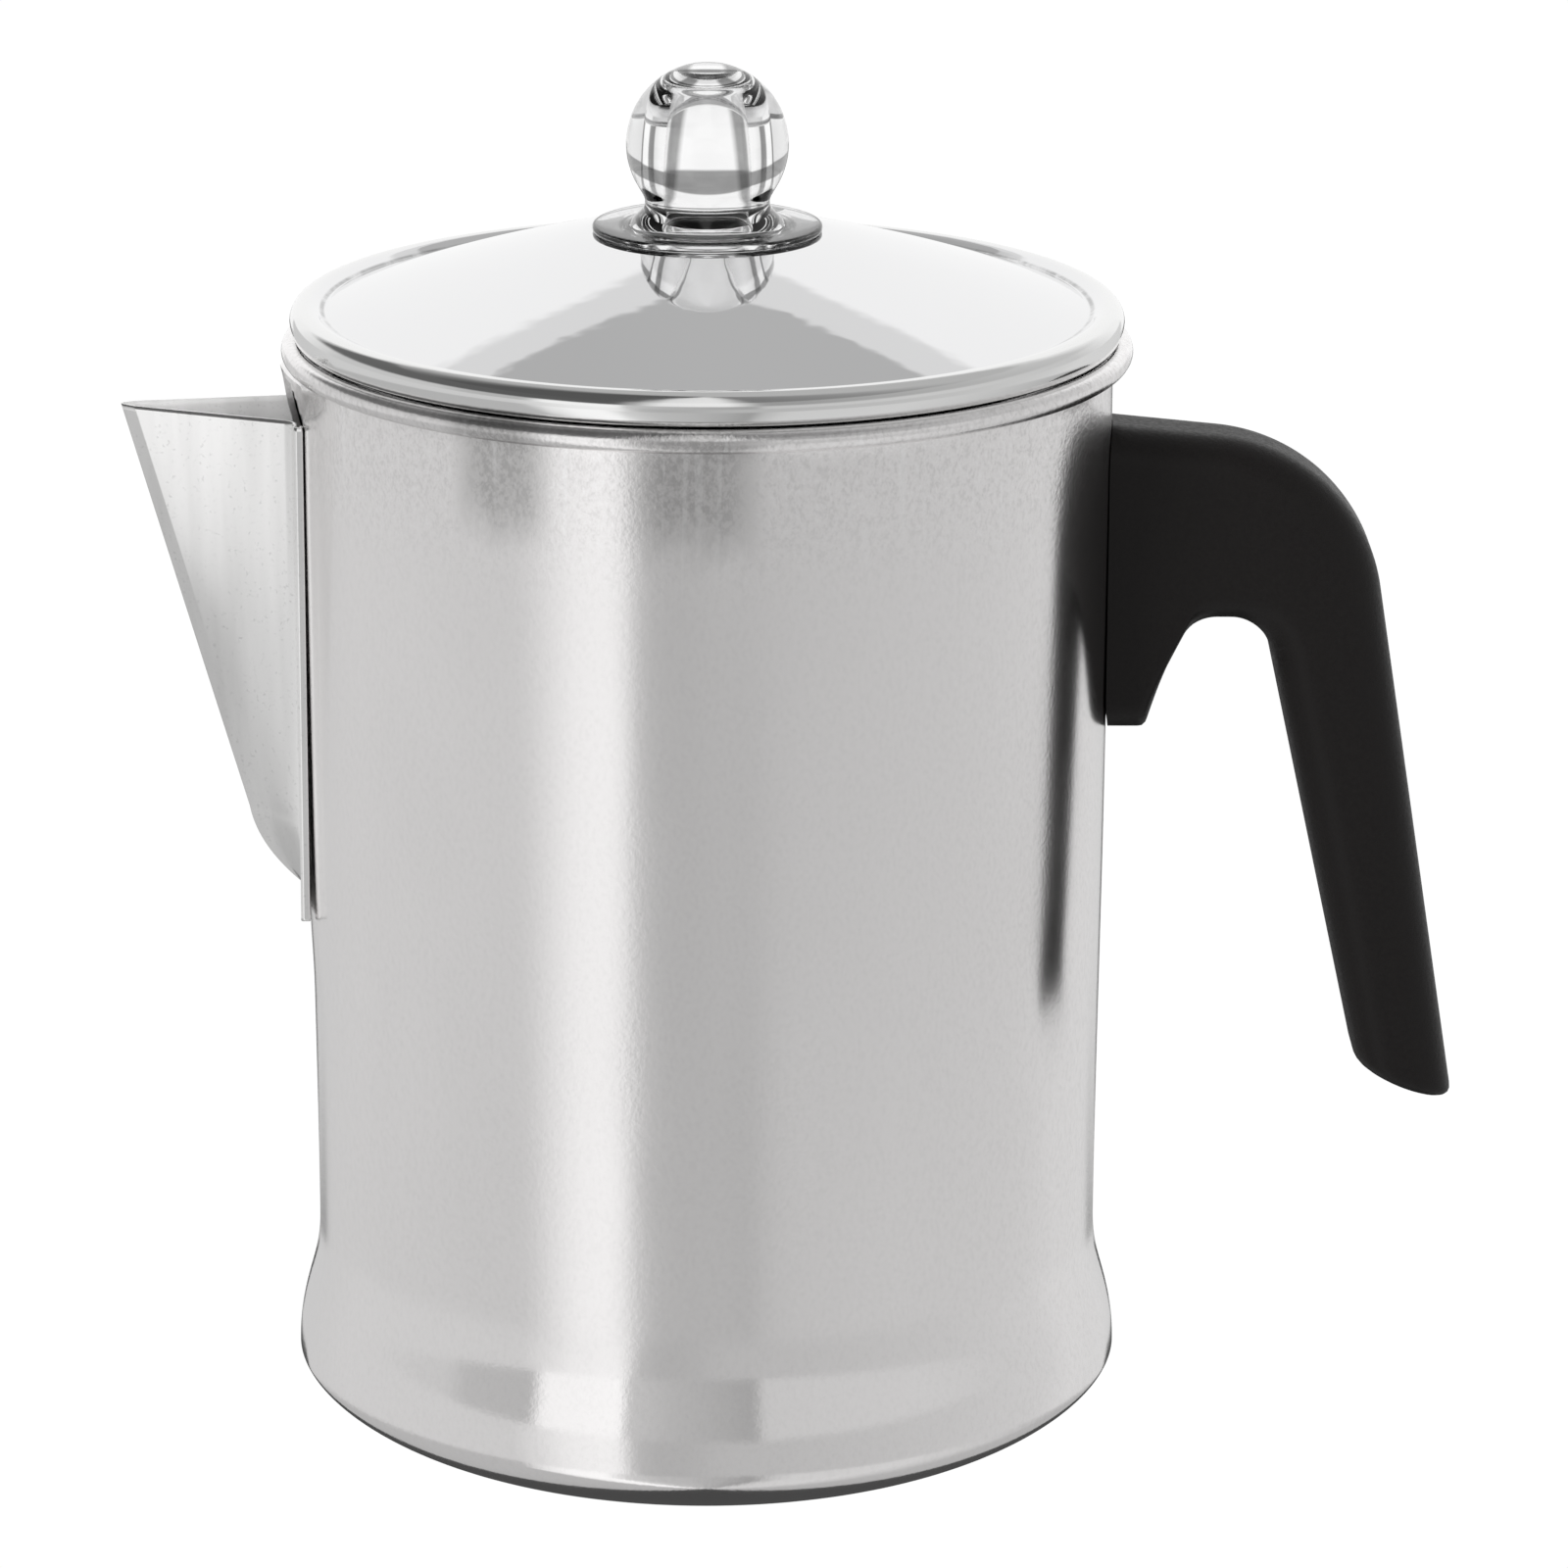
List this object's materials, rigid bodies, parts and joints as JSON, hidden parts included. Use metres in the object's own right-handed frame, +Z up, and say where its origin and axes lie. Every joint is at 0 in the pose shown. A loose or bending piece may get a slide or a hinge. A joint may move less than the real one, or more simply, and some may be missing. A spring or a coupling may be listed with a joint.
{
  "type": "coffee percolator",
  "caption": "Stovetop coffee percolator: aluminium pot with folded spout, black handle and lid with clear glass knob; stem, perforated basket and spreader lift out.",
  "frame": {"origin": "centre of the flat base, on the surface the pot stands on", "axes": "+Z up along the pot's axis, +X towards the handle, -X towards the spout"},
  "size_m": [0.2034, 0.128, 0.2111],
  "materials": {
    "satin_aluminium": "satin, fine circumferential grain",
    "polished_aluminium": "pressed and polished",
    "drawn_aluminium": "as drawn, dull",
    "black_phenolic": "moulded, fine matte texture",
    "clear_glass": "clear, fire polished",
    "zinc_steel": "plated",
    "brass": "machined",
    "fibre_seal": "dull red fibre"
  },
  "bodies": {
    "pot": {"pot_body": "satin_aluminium", "spout": "satin_aluminium", "handle": "black_phenolic", "handle_screws": "zinc_steel", "handle_washers": "zinc_steel", "handle_seals": "fibre_seal", "handle_inserts": "brass"},
    "stem": {"stem_tube": "drawn_aluminium", "stem_bell": "drawn_aluminium", "stem_ferrule": "drawn_aluminium", "stem_stop": "drawn_aluminium", "valve_plate": "drawn_aluminium"},
    "valve": {"valve_disc": "drawn_aluminium"},
    "basket": {"basket": "drawn_aluminium", "basket_sleeve": "drawn_aluminium"},
    "spreader": {"spreader": "drawn_aluminium"},
    "lid": {"lid": "polished_aluminium"},
    "knob": {"knob": "clear_glass"}
  },
  "joints": [
    {"name": "stem_lift", "type": "slide", "parent": "pot", "child": "stem", "axis": [0, 0, 1], "range_m": [0, 0.18]},
    {"name": "valve_lift", "type": "slide", "parent": "stem", "child": "valve", "axis": [0, 0, 1], "range_m": [0, 0.0015]},
    {"name": "basket_lift", "type": "slide", "parent": "stem", "child": "basket", "axis": [0, 0, 1], "range_m": [0, 0.085]},
    {"name": "spreader_lift", "type": "slide", "parent": "basket", "child": "spreader", "axis": [0, 0, 1], "range_m": [0, 0.04]},
    {"name": "lid_lift", "type": "slide", "parent": "spreader", "child": "lid", "axis": [0, 0, 1], "range_m": [0, 0.06]},
    {"name": "knob_twist", "type": "hinge", "parent": "lid", "child": "knob", "pos_m": [0, 0, 0.1857], "axis": [0, 0, 1], "range_deg": [0, 60]}
  ]
}
